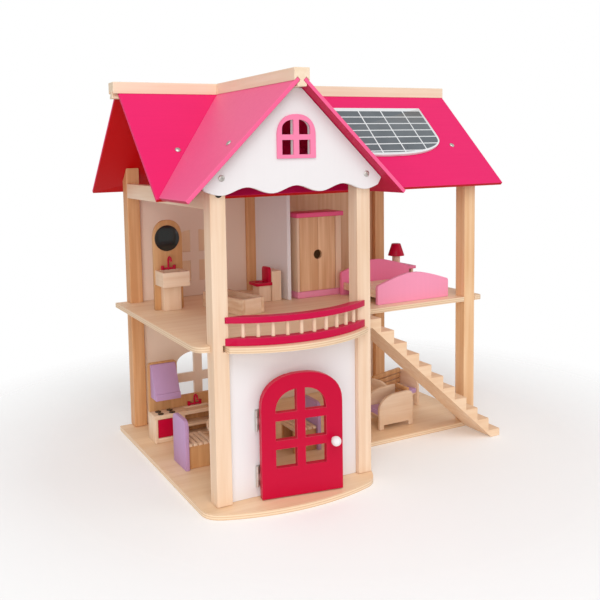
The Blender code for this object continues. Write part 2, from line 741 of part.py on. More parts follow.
def washbasin():
    """Arched back board with a basin on a pedestal."""
    floor = FLOOR_TOP + GAP
    middle, half = 36.5, 22.0
    outline = [(middle - half, floor), (middle + half, floor)]
    outline += arch(middle, half, 306.0, 27.0)
    unit = prism("y", [outline], 239.0, 245.0)
    unit.name = "washbasin"
    join(unit, box(15.5, 55.5, 205.0, 240.0, 240.0, 261.0), box(23.5, 50.0, 226.0, 240.0, floor, 241.0))
    cut(unit, barrel(middle, 221.0, 250.0, 270.0, 13.0, 24))
    keep(unit, "washbasin", PINE)


def bathtub():
    """Wooden tub standing a little askew."""
    floor = FLOOR_TOP + GAP
    tub = box(-20.0, 20.0, -47.0, 47.0, floor, 225.0)
    cut(tub, box(-14.5, 14.5, -41.0, 41.0, floor + 5.0, 230.0))
    stand(tub, 113.5, 185.0, 12.0)
    keep(tub, "bathtub", PINE)


def toilet():
    """Toilet that faces left: pedestal, seat, raised lid and cistern."""
    floor = FLOOR_TOP + GAP
    pan = box(170.0, 190.0, 211.0, 233.0, floor, 228.0)
    join(pan, box(164.0, 191.0, 208.0, 236.0, 227.0, 231.5),
         box(186.0, 191.0, 208.0, 236.0, 230.5, 254.5),
         box(190.5, 206.0, 208.0, 236.0, floor, 248.0))
    cut(pan, barrel(176.0, 222.0, 216.0, 240.0, 7.0))
    keep(pan, "toilet", PINE)


# Furniture, ground floor

def kitchen():
    """Kitchen unit: cabinets with open shelves, back board and hood."""
    floor = BOARD + GAP
    left, right = 4.5, 104.0
    front, back = 229.0, 259.0
    unit = box(left, right, front, back, floor, 48.0)
    hood = [(253.0, 70.0), (253.0, 121.0), (249.0, 121.0), (front, 82.0), (front, 70.0)]
    join(unit, box(left, 50.0, 252.5, back, 30.0, 121.0), prism("x", [hood], left, 46.0))
    cut(unit, box(9.0, 33.0, front - 1.0, front + 2.0, 14.5, 43.0),
        box(52.0, 99.0, front - 1.0, 249.0, 11.0, 24.0),
        box(52.0, 99.0, front - 1.0, 249.0, 28.0, 42.0),
        box(58.0, 94.0, front + 4.0, 249.0, 45.0, 50.0))
    keep(unit, "kitchen_unit", PINE)


def round_table():
    """Round table on a pedestal."""
    profile = [(0.0, 52.0), (47.0, 52.0), (48.0, 51.0), (48.0, 47.0), (47.0, 46.0), (7.0, 46.0),
               (7.0, 5.0), (24.0, 5.0), (24.0, 0.0), (0.0, 0.0)]
    keep(turned(profile, 92.0, 122.0, BOARD + GAP, 32), "round_table", PINE, smooth=True)


def chair(name, x, y, facing):
    """Chair with a tall back; facing is 1 for a seat to the right of its back."""
    floor = BOARD + GAP
    depth, width = 36.0, 45.0
    side = facing
    back_edge = (x, x + side * 5.5)
    outline = [(y, floor), (y + width, floor)]
    outline += curve_through((y + width, 66.0), (y + width, 76.0), (y + width - 10.0, 76.0), 4)
    outline += curve_through((y + 10.0, 76.0), (y, 76.0), (y, 66.0), 4)
    obj = prism("x", [outline], min(back_edge), max(back_edge))
    obj.name = name
    seat = sorted((x + side * 5.0, x + side * (5.5 + depth)))
    join(obj, box(*seat, y + 2.0, y + width - 2.0, 37.0, 42.0))
    for low in (y + 4.0, y + width - 9.0):
        join(obj, box(*seat, low, low + 5.0, floor, 38.0))
    keep(obj, name, LILAC)


def stand(obj, x, y, turn):
    """Turn a finished item and put its corner at a place, with the shapes it is made from."""
    bpy.context.view_layer.update()
    swing = Matrix.Translation(place(x, y, 0.0)) @ Matrix.Rotation(radians(turn), 4, "Z") \
        @ Matrix.Translation(-place(0.0, 0.0, 0.0))
    for shape in [obj] + [change.object for change in obj.modifiers if change.type == "BOOLEAN"]:
        shape.matrix_world = swing @ shape.matrix_world


def seat_unit(name, length, depth, x, y, turn):
    """Sofa or armchair between rounded side panels; its front runs from the given corner."""
    floor = BOARD + GAP
    top = 60.0
    outline = [(0.0, floor), (8.0, floor), (8.0, floor + 7.0), (depth - 8.0, floor + 7.0),
               (depth - 8.0, floor), (depth, floor)]
    outline += curve_through((depth, top - 8.0), (depth, top), (depth - 8.0, top + 1.0), 4)
    outline += curve_through((0.45 * depth, top), (2.0, top - 4.0), (0.0, top - 22.0), 6)
    unit = prism("x", [outline], 0.0, 5.0)
    unit.name = name
    join(unit, prism("x", [outline], length - 5.0, length),
         box(4.0, length - 4.0, 3.0, depth - 2.0, 26.0, 36.0),
         box(4.0, length - 4.0, depth - 8.0, depth - 2.0, 30.0, top + 4.0))
    stand(unit, x, y, turn)
    keep(unit, name, PINE)


def main():
    """Build every piece of the house and its furniture."""
    base_board()
    upper_floor()
    posts()
    left_top_rail()
    walls()
    roof()
    gable_board()
    solar_panel()
    balcony()
    stairs()
    front_door()
    wardrobe()
    bed()
    bedside()
    washbasin()
    bathtub()
    toilet()
    kitchen()
    round_table()
    chair("chair_left", 7.0, 117.0, 1)
    chair("chair_right", 204.0, 95.0, -1)
    seat_unit("armchair", 39.0, 62.0, 318.0, 152.0, -90.0)
    seat_unit("sofa", 80.0, 42.0, 368.9, 156.4, 16.2)


main()
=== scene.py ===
# %% [markdown]
# # A wooden dollhouse
#
# The real house is cut from pine and plywood sheet, painted in pinks and white,
# and screwed together.  Its frame comes in ready made and stays where it is.
# This lesson gives every board its finish, then makes the furniture and small
# fittings that a plain frame leaves out.

# %% Load the frame
import bpy
from math import cos, pi, radians, sin
from mathutils import Matrix, Vector


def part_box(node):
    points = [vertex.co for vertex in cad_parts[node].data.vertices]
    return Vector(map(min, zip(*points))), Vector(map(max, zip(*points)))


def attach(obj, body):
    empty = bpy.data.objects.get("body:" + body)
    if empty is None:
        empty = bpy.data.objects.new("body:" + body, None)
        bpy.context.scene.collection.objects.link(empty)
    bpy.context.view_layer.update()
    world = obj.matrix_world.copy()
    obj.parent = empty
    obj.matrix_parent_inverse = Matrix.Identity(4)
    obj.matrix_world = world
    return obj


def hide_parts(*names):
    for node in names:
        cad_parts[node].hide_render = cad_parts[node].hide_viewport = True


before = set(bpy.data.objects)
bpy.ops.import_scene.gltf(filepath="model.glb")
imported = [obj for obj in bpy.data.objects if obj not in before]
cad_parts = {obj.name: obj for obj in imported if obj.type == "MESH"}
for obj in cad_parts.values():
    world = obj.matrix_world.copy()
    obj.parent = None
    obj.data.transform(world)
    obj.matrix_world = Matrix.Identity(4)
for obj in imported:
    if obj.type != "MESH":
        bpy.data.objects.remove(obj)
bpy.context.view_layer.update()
print("The frame has", len(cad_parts), "parts")

# %% [markdown]
# A house is easiest to talk about in millimetres from one of its corners.  Here
# x runs along the ridge, y to the back and z up from the table, all from the
# outer corner of the front left post, and `at` turns that into a place.

# %% Places
MM = 0.001
CORNER = Vector((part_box("post_front_left")[0].x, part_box("post_front_left")[0].y, 0.0))
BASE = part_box("base_board")[1].z / MM
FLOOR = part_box("upper_floor")[1].z / MM
CLEAR = 0.3


def at(x, y, z):
    """A place in the house, given in millimetres."""
    return CORNER + Vector((x, y, z)) * MM


def span(node):
    """The low and high corner of a frame part, in house millimetres."""
    low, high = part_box(node)
    return (low - CORNER) / MM, (high - CORNER) / MM


print("Base top at", round(BASE, 1), "mm, upper floor at", round(FLOOR, 1), "mm")

# %% [markdown]
# ## Finishes
#
# A finish is a small graph of nodes.  Writing it as Python sums keeps it short:
# a `Value` stands for the output of a node, and adding, multiplying or comparing
# Values adds the Math node that does it.

# %% Sums of nodes
class Value:
    """The output of a node, which can be used in sums."""

    def __init__(self, finish, socket):
        self.finish = finish
        self.socket = socket

    def math(self, operation, first, second=0.0):
        return self.finish.node("Math", {"operation": operation}, {0: first, 1: second})

    def __add__(self, other):
        return self.math("ADD", self, other)

    def __radd__(self, other):
        return self.math("ADD", other, self)

    def __sub__(self, other):
        return self.math("SUBTRACT", self, other)

    def __rsub__(self, other):
        return self.math("SUBTRACT", other, self)

    def __mul__(self, other):
        return self.math("MULTIPLY", self, other)

    def __rmul__(self, other):
        return self.math("MULTIPLY", other, self)

    def __truediv__(self, other):
        return self.math("DIVIDE", self, other)

    def __pow__(self, other):
        return self.math("POWER", self, other)

    def __gt__(self, other):
        return self.math("GREATER_THAN", self, other)

    def __lt__(self, other):
        return self.math("LESS_THAN", self, other)

    def __abs__(self):
        return self.math("ABSOLUTE", self)

    def sine(self):
        return self.math("SINE", self)

    def fraction(self):
        """The part after the decimal point, which makes a sawtooth wave."""
        return self.math("FRACT", self)

    def at_least(self, least):
        return self.math("MAXIMUM", self, least)


print("Values can be added, multiplied and compared")

# %% [markdown]
# A `Finish` starts from Blender's all-purpose shader, adds nodes through one
# method and plugs the results in at the end.  Patterns are read from the
# object's own space, so they stay where they are when a door swings.

# %% The finish kit
class Finish:
    """A material under construction."""

    def __init__(self, name, roughness, bump=0.0, metallic=0.0, coat=0.0, shine=0.35):
        self.made = bpy.data.materials.new(name)
        self.made.use_nodes = True
        self.tree = self.made.node_tree
        self.shader = self.tree.nodes["Principled BSDF"]
        self.shader.inputs["Metallic"].default_value = metallic
        self.shader.inputs["Roughness"].default_value = roughness
        self.shader.inputs["Coat Weight"].default_value = coat
        self.shader.inputs["Coat Roughness"].default_value = 0.2
        self.shader.inputs["Specular IOR Level"].default_value = shine
        self.bump = bump
        self.place = self.node("TexCoord", {}, {}, "Object")

    def node(self, kind, settings, sockets, out=0):
        """Add a node: its settings first, then the values or links of its sockets."""
        made = self.tree.nodes.new("ShaderNode" + kind)
        for key, value in settings.items():
            if key == "stops":
                ramp = made.color_ramp.elements
                while len(ramp) < len(value):
                    ramp.new(0.5)
                for stop, (position, colour) in zip(ramp, value):
                    stop.position = position
                    stop.color = colour
            else:
                setattr(made, key, value)
        for key, value in sockets.items():
            if isinstance(value, Value):
                self.tree.links.new(value.socket, made.inputs[key])
            else:
                made.inputs[key].default_value = value
        return Value(self, made.outputs[out])

    def axis(self, letter):
        """One coordinate of the object's own space, in metres."""
        return self.node("SeparateXYZ", {}, {0: self.place}, letter)

    def stretched(self, scale):
        """The place, scaled along each axis."""
        return self.node("Mapping", {}, {"Vector": self.place, "Scale": scale})

    def noise(self, scale, stretch=(1, 1, 1), detail=3.0, rough=0.5):
        """Cloudy noise from 0 to 1, stretched along an axis if wanted."""
        where = self.stretched(stretch)
        sockets = {"Vector": where, "Scale": scale, "Detail": detail, "Roughness": rough}
        return self.node("TexNoise", {}, sockets)

    def ramp(self, value, *stops):
        """Numbers picked along a value: each stop is (position, level)."""
        colours = [(place, (level, level, level, 1.0)) for place, level in stops]
        return self.node("ValToRGB", {"stops": colours}, {0: value})

    def mix(self, factor, first, second):
        """Blend two colours."""
        return self.node("Mix", {"data_type": "RGBA"}, {0: factor, 6: first, 7: second}, 2)

    def finish(self, colour=None, roughness=None, height=None):
        """Plug the results into the shader and hand the material back."""
        for name, value in (("Base Color", colour), ("Roughness", roughness)):
            if isinstance(value, Value):
                self.tree.links.new(value.socket, self.shader.inputs[name])
            elif value is not None:
                self.shader.inputs[name].default_value = value
        if height is not None:
            sockets = {"Strength": self.bump, "Distance": 0.0004, "Height": height}
            bumped = self.node("Bump", {}, sockets)
            self.tree.links.new(bumped.socket, self.shader.inputs["Normal"])
        return self.made


print("The finish kit is ready")

# %% [markdown]
# Colours are picked as screen values from 0 to 255, as in a paint program, and
# the shader wants linear ones, so `rgb` converts them.

# %% Colours
def rgb(red, green, blue):
    """A screen colour as the linear colour a shader wants."""
    shares = [value / 255.0 for value in (red, green, blue)]
    linear = [s / 12.92 if s <= 0.04045 else ((s + 0.055) / 1.055) ** 2.4 for s in shares]
    return (*linear, 1.0)


print("Warm white is", [round(v, 2) for v in rgb(247, 224, 192)])

# %% [markdown]
# ### Pine
#
# The posts, rods and furniture are pale pine under clear lacquer.  Pine shows
# long soft lines along the board: wide bands of growth rings, with fine fibres
# between them.  Noise that is stretched a lot along one axis gives both, and
# the same noise lifts the fibres a hair in the bump.

# %% Pine finishes
ALONG = {"x": (0.045, 1.0, 1.0), "y": (1.0, 0.045, 1.0), "z": (1.0, 1.0, 0.045)}
PINE_LIGHT = rgb(248, 223, 198)
PINE_DARK = rgb(228, 190, 154)


def pine(name, along="x", light=PINE_LIGHT, dark=PINE_DARK, roughness=0.42):
    """Lacquered pine with its grain along one axis."""
    wood = Finish(name, roughness, bump=0.25, coat=0.05)
    stretch = ALONG[along]
    sway = wood.noise(9.0, stretch, detail=1.0)
    rings = wood.noise(150.0, stretch, detail=2.0)
    bands = wood.ramp(rings + 0.35 * sway, (0.42, 0.0), (0.78, 1.0))
    fibres = wood.noise(1500.0, [0.35 * s if s < 1 else s for s in stretch], detail=4.0)
    clouds = wood.noise(14.0, detail=2.0)
    amount = 0.5 * bands + 0.3 * fibres + 0.35 * clouds - 0.16
    colour = wood.mix(amount, light, dark)
    return wood.finish(colour, roughness + 0.12 * fibres, fibres * 0.6 + bands * 0.4)


looks = {
    "pine_x": pine("pine_along_x", "x"),
    "pine_y": pine("pine_along_y", "y"),
    "pine_z": pine("pine_along_z", "z"),
    # The rear posts stand in shade inside the house, so their pine is painted darker and warmer: painted
    # shade with warm bounce light.
    "rear_shade_pine_z": pine("rear_pine_painted_shade", "z", rgb(240, 192, 144), rgb(202, 138, 84)),
    # The right wing's front post is painted a warmer pine: painted shade with warm bounce light.
    "wing_shade_pine_z": pine("wing_pine_painted_shade", "z", rgb(250, 214, 172), rgb(222, 166, 112)),
    "planks": pine("plank_pine", "z", rgb(252, 214, 172), rgb(204, 146, 96)),
    "beam_x": pine("beam_pine_x", "x", rgb(250, 232, 208), rgb(236, 208, 176)),
    "beam_y": pine("beam_pine_y", "y", rgb(250, 232, 208), rgb(236, 208, 176)),
    "wall_pine": pine("wall_pine", "z", rgb(243, 208, 170), rgb(214, 166, 120)),
    # Backs, side panels and slats that sit in shade get a darker, warmer pine: painted shade.
    "oiled": pine("pine_darkened_for_shade", "z", rgb(226, 178, 126), rgb(188, 128, 76)),
    "figured": pine("figured_pine", "y", rgb(252, 226, 196), rgb(206, 156, 114)),
}
print("Pine finishes:", sorted(looks))

# %% [markdown]
# ### Plywood
#
# The base, the floor and the stair are plywood.  Its faces look like calm pine,
# but its edges show thin layers, light and dark in turn.  The upright part of
# the surface normal tells an edge from a face.

# %% Plywood finish
def plywood(name, light, dark, along="x", ply=1.4):
    """Plywood: grain on the faces and layers on the edges; ply is a layer's thickness in mm."""
    wood = Finish(name, 0.45, bump=0.2, coat=0.05)
    stretch = ALONG[along]
    rings = wood.noise(90.0, stretch, detail=2.0)
    bands = wood.ramp(rings, (0.4, 0.0), (0.68, 1.0))
    fibres = wood.noise(1300.0, [0.4 * s if s < 1 else s for s in stretch], detail=4.0)
    clouds = wood.noise(8.0, detail=2.0)
    face = wood.mix(0.4 * bands + 0.3 * fibres + 0.3 * clouds - 0.12, light, dark)
    normal = wood.node("NewGeometry", {}, {}, "True Normal")
    upright = abs(wood.node("SeparateXYZ", {}, {0: normal}, "Z"))
    layers = (wood.axis("Z") * (1000.0 / ply) * pi).sine()
    edge_amount = wood.ramp(layers * 0.5 + 0.5 + 0.25 * fibres, (0.35, 0.0), (0.8, 1.0))
    edge = wood.mix(edge_amount, rgb(244, 216, 184), rgb(224, 190, 154))
    on_edge = upright < 0.5
    colour = wood.mix(on_edge, face, edge)
    return wood.finish(colour, 0.4 + 0.15 * fibres, fibres * 0.6 + bands * 0.4)


looks["floor_ply"] = plywood("floor_plywood", rgb(252, 224, 190), rgb(236, 196, 152))
looks["base_ply"] = plywood("base_plywood", rgb(250, 220, 186), rgb(230, 190, 146))
looks["stair_wood"] = pine("stair_beech", "x", rgb(250, 222, 192), rgb(228, 184, 142))
print("Plywood added")

# %% [markdown]
# ### Satin paint
#
# The coloured parts are painted with a brush and roller.  A satin coat is not
# one flat colour: it is a little uneven, and the grain beneath shows as faint
# lines.  Sharp edges are painted a bit lighter: partly rubbed wear, partly a
# painted highlight where a rounded edge catches the light.  The bevel node finds
# those edges by comparing the rounded normal with the true one.  Faces that look
# down may get a deeper tone of their own, which is painted shade, as on the roof.

# %% Painted finishes
def paint(name, colour, roughness=0.32, shade=0.86, along="x", rub_and_sheen=0.3, underside_shade=None):
    """Satin paint over wood: uneven, with edges lightened by wear and by painted highlight, and an
    optional painted shade tone for faces that look down.
    """
    coat_of = Finish(name, roughness, bump=0.12, shine=0.16)
    clouds = coat_of.noise(7.0, detail=3.0)
    lines = coat_of.noise(260.0, ALONG[along], detail=3.0)
    stipple = coat_of.noise(1400.0, detail=2.0)
    deep = tuple(channel * shade for channel in colour[:3]) + (1.0,)
    pale = tuple(min(1.0, channel + (1 - channel) * 0.35) for channel in colour[:3]) + (1.0,)
    base = coat_of.mix(0.75 * clouds + 0.35 * lines - 0.1, colour, deep)
    # Faces that look down take a deeper tone: painted shade.
    if underside_shade:
        normal = coat_of.node("NewGeometry", {}, {}, "True Normal")
        shaded_underside = coat_of.node("SeparateXYZ", {}, {0: normal}, "Z") < -0.3
        base = coat_of.mix(shaded_underside, base, underside_shade)
    # Edges are mixed towards a paler tone: partly rubbed wear, partly painted highlight.
    rounded = coat_of.node("Bevel", {"samples": 3}, {"Radius": 0.0007})
    true = coat_of.node("NewGeometry", {}, {}, "Normal")
    agree = coat_of.node("VectorMath", {"operation": "DOT_PRODUCT"}, {0: rounded, 1: true}, "Value")
    edge = coat_of.ramp(1.0 - agree, (0.01, 0.0), (0.16, 1.0))
    wear_and_highlight = edge * coat_of.ramp(clouds, (0.4, 0.2), (0.7, 1.0)) * rub_and_sheen
    final = coat_of.mix(wear_and_highlight, base, pale)
    return coat_of.finish(final, roughness + 0.14 * lines, stipple * 0.5 + lines * 0.5)


# The roof's deeper red on its undersides is painted shade.
looks["roof_pink"] = paint("roof_pink_paint", rgb(242, 34, 112), 0.3, underside_shade=rgb(196, 2, 10))
# The gable panels use the roof pink made lighter, a painted sheen, with a painted shade tone on their
# undersides.
looks["sheen_pink"] = paint("roof_pink_with_painted_sheen", rgb(254, 104, 154), 0.3, underside_shade=rgb(196, 14, 70))
# The door's and rails' edges are lightened most: painted highlight along their bevels.
looks["deep_pink"] = paint("door_red_paint", rgb(202, 6, 56), 0.24, rub_and_sheen=0.6)
looks["rail_pink"] = paint("rail_pink_paint", rgb(206, 14, 72), 0.24, rub_and_sheen=0.5)
looks["pale_pink"] = paint("pale_pink_paint", rgb(252, 160, 192), 0.38, along="z")
looks["frame_pink"] = paint("window_pink_paint", rgb(254, 138, 178), 0.36, along="z")
looks["white"] = paint("white_wall_paint", rgb(240, 237, 238), 0.5, shade=0.93, along="z")
looks["lilac"] = paint("lilac_paint", rgb(200, 160, 202), 0.4, along="z")
# The rear walls are white paint, given a warm cream tone: painted shade with warm bounce light from the
# wood.
looks["warm_shade_white"] = paint("white_paint_warmed_for_shade", rgb(247, 226, 208), 0.5, shade=0.92, along="z")
print("Painted finishes:", len(looks))

# %% [markdown]
# ### Metal, enamel and glass
#
# Hinges and screws are bright zinc, the hob plates and the mirror are near
# black and shiny.

# %% Metal and dark finishes
def metal(name, colour, roughness=0.28):
    """Zinc-plated steel with fine rolling marks."""
    steel = Finish(name, roughness, bump=0.15, metallic=1.0)
    marks = steel.noise(900.0, (1, 1, 0.1), detail=3.0)
    tone = steel.mix(marks, colour, tuple(0.72 * c for c in colour[:3]) + (1.0,))
    return steel.finish(tone, roughness + 0.2 * marks, marks)


def enamel(name, colour, roughness):
    """Hard shiny paint, with faint smears."""
    hard = Finish(name, roughness, bump=0.05, coat=0.5)
    smears = hard.noise(60.0, (1, 1, 0.4), detail=3.0)
    tone = hard.mix(smears, colour, tuple(0.6 * c for c in colour[:3]) + (1.0,))
    return hard.finish(tone, roughness + 0.12 * smears, smears)


looks["zinc"] = metal("zinc_plate", rgb(226, 222, 216), 0.34)
looks["black"] = enamel("black_enamel", rgb(30, 26, 26), 0.2)
looks["mirror"] = enamel("dark_mirror", rgb(22, 26, 22), 0.08)
print("All finishes:", sorted(looks))

# %% [markdown]
# ### Solar panel
#
# The panel on the roof is a white board with a printed grid of slate cells.
# Its columns follow x.  Down the slope, height does the same job, because the
# slope is at 45 degrees.  Two sawtooth waves, one for each direction, are dark
# inside a cell and white on the lines.  The grid stops at a curved lower edge.

# %% Solar finish
def solar():
    """Slate cells on a white board, with a white rim."""
    low, high = span("solar_panel")
    panel = Finish("solar_squares", 0.25, bump=0.1, coat=0.4)
    across = panel.axis("X") * 1000.0 - (CORNER.x / MM)
    up = panel.axis("Z") * 1000.0
    first_column, column, row, rim = 279.5, 41.0, 10.2, 4.0
    fullness, root = 2.3, 0.4348    # the lower edge is a flattened ellipse, root is 1 / fullness

    def square(value, start, size, line):
        """1 inside a cell and 0 on the line between cells."""
        phase = ((value - start) / size).fraction()
        return abs(phase - 0.5) < 0.5 - 0.5 * line / size

    half = 0.5 * (high.x - low.x)
    middle = 0.5 * (low.x + high.x)
    cell = square(across, first_column, column, 2.0) * square(up, high.z - rim, row, 1.3)
    off = abs(across - middle) / (half - rim)
    shoulder = high.z - 46.5
    drop = shoulder - low.z - 6.0
    lower = shoulder - drop * (1.0 - off ** fullness).at_least(0.0) ** root
    inside = (off < 1.0) * (up > lower) * (up < high.z - 5.0)
    cloud = panel.noise(40.0, detail=3.0)
    slate = panel.mix(cloud, rgb(84, 92, 98), rgb(110, 118, 124))
    white = panel.mix(cloud, rgb(240, 243, 244), rgb(226, 231, 234))
    return panel.finish(panel.mix(cell * inside, white, slate), 0.22 + 0.2 * cloud, cloud)


looks["solar"] = solar()
print("Solar panel spans", [round(v, 1) for v in span("solar_panel")[0]])

# %% [markdown]
# ### Blind window
#
# The upper rear wall has no holes: its four panes are shallow pockets that show
# the bare board.  Only the floor of a pocket faces forwards and lies deeper than
# the wall's face, so depth and the normal pick it out.

# %% Blind window finish
def blind_window():
    """White paint with bare wood at the floor of the pockets."""
    wall = Finish("white_wall_with_bare_panes", 0.5, bump=0.12, shine=0.25)
    low, high = span("rear_wall_upper_left")
    depth = wall.axis("Y") * 1000.0 - CORNER.y / MM
    normal = wall.node("NewGeometry", {}, {}, "True Normal")
    forward = wall.node("SeparateXYZ", {}, {0: normal}, "Y") < -0.5
    pocket = (depth > low.y + 1.0) * forward
    grain = wall.noise(90.0, ALONG["z"], detail=3.0)
    clouds = wall.noise(7.0, detail=3.0)
    bare = wall.mix(grain, rgb(250, 222, 190), rgb(232, 196, 158))
    # This white is warmed to the same cream: painted shade with warm bounce light.
    white = wall.mix(clouds, rgb(247, 226, 208), rgb(240, 216, 196))
    return wall.finish(wall.mix(pocket, white, bare), 0.45 + 0.15 * grain, grain)


looks["blind_window"] = blind_window()
print("Blind window ready")

# %% [markdown]
# ## Dressing the frame
#
# Every frame part keeps its shape.  It gets its finish, and a Weld and a small
# Bevel that round its edges, because no sanded board has a razor edge, and a
# rounded edge catches a thin line of light.  The table names a finish and an
# edge width in millimetres for each kind of part: the first start that fits the
# part's name counts.

# %% Dress the frame parts
def soften(obj, width):
    """Round the sharp edges of a frame part with live modifiers."""
    weld = obj.modifiers.new("weld", "WELD")
    weld.merge_threshold = 0.00001
    bevel = obj.modifiers.new("rounded", "BEVEL")
    bevel.width = width * MM
    bevel.segments = 2
    bevel.limit_method = "ANGLE"
    bevel.angle_limit = radians(30)
    bevel.harden_normals = False


def dress(node, look, width):
    """Give a frame part its finish and its rounded edges."""
    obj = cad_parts[node]
    obj.data.materials.clear()
    obj.data.materials.append(looks[look])
    for face in obj.data.polygons:
        face.material_index = 0
    if width:
        soften(obj, width)


FINISHES = (
    ("post_rear", "rear_shade_pine_z", 1.1), ("post_right_front", "wing_shade_pine_z", 1.1), ("post_", "pine_z", 1.1),
    ("roof_", "roof_pink", 0.9), ("gable_roof", "sheen_pink", 0.9),
    ("rear_wall_upper_left", "blind_window", 0.3), ("rear_wall_upper_right", "wall_pine", 0.4),
    ("rear_wall", "warm_shade_white", 0.4), ("baluster", "pine_z", 0), ("hinge", "zinc", 0),
    ("base_board", "base_ply", 1.0), ("upper_floor", "floor_ply", 1.0),
    ("main_ridge_beam", "beam_x", 1.0), ("gable_ridge_beam", "beam_y", 1.0),
    ("left_top_rail", "pine_y", 0.8), ("stairs", "stair_wood", 0.7),
    ("front_wall", "white", 0.4), ("upper_partition", "white", 0.5),
    ("gable_board", "white", 0.5), ("gable_window_frame", "frame_pink", 0.5),
    ("balcony_bottom_rail", "rail_pink", 1.4), ("balcony_top_rail", "rail_pink", 1.4),
    ("front_door", "deep_pink", 1.2), ("door_knob", "white", 0), ("solar_panel", "solar", 0.5),
)
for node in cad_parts:
    for start, look, width in FINISHES:
        if node.startswith(start):
            dress(node, look, width)
            break
print("Frame parts dressed")

# %% [markdown]
# ## Making pieces
#
# The furniture is made from boards.  Every operator acts on all that is
# selected, so the first helpers make sure that only the right object is.

# %% Selecting and settling
def clear_selection():
    """Select nothing."""
    if bpy.context.object and bpy.context.object.mode != "OBJECT":
        bpy.ops.object.mode_set(mode="OBJECT")
    bpy.ops.object.select_all(action="DESELECT")


def only(obj):
    """Select just this object and make it active."""
    clear_selection()
    obj.select_set(True)
    bpy.context.view_layer.objects.active = obj
    return obj


def settle(obj):
    """Move an object's place into its mesh, so that the object sits at the origin."""
    only(obj)
    bpy.ops.object.transform_apply(location=True, rotation=True, scale=True)
    return obj


def joined(parts):
    """Join parts into one object."""
    clear_selection()
    for part in parts:
        part.select_set(True)
    bpy.context.view_layer.objects.active = parts[0]
    if len(parts) > 1:
        bpy.ops.object.join()
    return bpy.context.object


print("Selection helpers ready")

# %% [markdown]
# A rectangular board starts as a cube at its size and place, and a turned part
# as a cone, which is a cylinder when both radii are the same.

# %% Blocks and rods
def block(x0, x1, y0, y1, z0, z1, look):
    """A rectangular part between two corners."""
    clear_selection()
    middle = at(0.5 * (x0 + x1), 0.5 * (y0 + y1), 0.5 * (z0 + z1))
    size = Vector((x1 - x0, y1 - y0, z1 - z0)) * MM
    bpy.ops.mesh.primitive_cube_add(size=1.0, location=middle, scale=size)
    obj = settle(bpy.context.object)
    obj.data.materials.append(looks[look])
    return obj


def rod(x, y, z0, z1, radius, look, top=None, axis="z", steps=28):
    """A round part from z0 to z1; along axis y the first two numbers are x and z."""
    clear_selection()
    middle = 0.5 * (z0 + z1)
    places = {"z": (x, y, middle), "y": (x, middle, y)}
    turns = {"z": (0, 0, 0), "y": (pi / 2, 0, 0)}
    bpy.ops.mesh.primitive_cone_add(vertices=steps, radius1=radius * MM,
                                    radius2=(radius if top is None else top) * MM,
                                    depth=(z1 - z0) * MM, location=at(*places[axis]),
                                    rotation=turns[axis])
    obj = settle(bpy.context.object)
    obj.data.materials.append(looks[look])
    return obj


print("Blocks and rods ready")

# %% [markdown]
# A board with a curved edge starts as a flat curve, which Blender fills and
# thickens.  It is then turned into a mesh, its doubles are merged, and its faces
# are made to point outwards.

# %% Cut boards
TURNS = {
    "x": Matrix(((0, 0, 1), (1, 0, 0), (0, 1, 0))).to_4x4(),
    "y": Matrix(((1, 0, 0), (0, 0, -1), (0, 1, 0))).to_4x4(),
    "z": Matrix.Identity(4),
}


def as_mesh(obj, look):
    """Turn a curve into a closed mesh with a finish."""
    only(obj)
    bpy.ops.object.convert(target="MESH")
    settle(obj)
    bpy.ops.object.mode_set(mode="EDIT")
    bpy.ops.mesh.select_all(action="SELECT")
    bpy.ops.mesh.remove_doubles(threshold=0.000001)
    bpy.ops.mesh.normals_make_consistent(inside=False)
    bpy.ops.object.mode_set(mode="OBJECT")
    obj.data.materials.append(looks[look])
    return obj


def board(axis, low, high, look, *loops):
    """A flat board square to an axis, cut to an outline; further loops are holes."""
    clear_selection()
    flat = bpy.data.curves.new("outline", "CURVE")
    flat.dimensions = "2D"
    flat.fill_mode = "BOTH"
    flat.extrude = 0.5 * (high - low) * MM
    for loop in loops:
        spline = flat.splines.new("POLY")
        spline.points.add(len(loop) - 1)
        spline.use_cyclic_u = True
        for point, (across, up) in zip(spline.points, loop):
            point.co = (across * MM, up * MM, 0.0, 1.0)
    obj = bpy.data.objects.new("outline", flat)
    bpy.context.scene.collection.objects.link(obj)
    middle = 0.5 * (low + high)
    along = {"x": (middle, 0, 0), "y": (0, middle, 0), "z": (0, 0, middle)}[axis]
    obj.matrix_world = Matrix.Translation(at(*along)) @ TURNS[axis]
    return as_mesh(obj, look)


print("Cut boards ready")

# %% [markdown]
# Two curved edges come back on many boards.  The arch is a superellipse: its
# power makes it fuller than a half circle.  The bend is a quadratic curve that
# leaves one side and joins the next without a corner.

# %% Curved edges
def arch(middle, half, spring, rise, steps=16, power=2.3):
    """A flattened arch from its right foot over the top to its left foot."""
    points = []
    for i in range(steps + 1):
        turn = pi * i / steps
        side = 1 if i <= steps / 2 else -1
        points.append((middle + side * half * abs(cos(turn)) ** (2 / power),
                       spring + rise * abs(sin(turn)) ** (2 / power)))
    return points


def bend(start, corner, end, steps=6):
    """Points on a smooth bend that aims at a corner."""
    points = []
    for i in range(steps + 1):
        t = i / steps
        a, b, c = (1 - t) ** 2, 2 * t * (1 - t), t * t
        points.append((a * start[0] + b * corner[0] + c * end[0],
                       a * start[1] + b * corner[1] + c * end[1]))
    return points


print("Curved edges ready")

# %% [markdown]
# `assemble` joins the parts of one item and applies one bevel to the lot, so all
# its edges are sanded alike.  The result rides on the house and, where it stands
# for a plain frame part, hides that part.

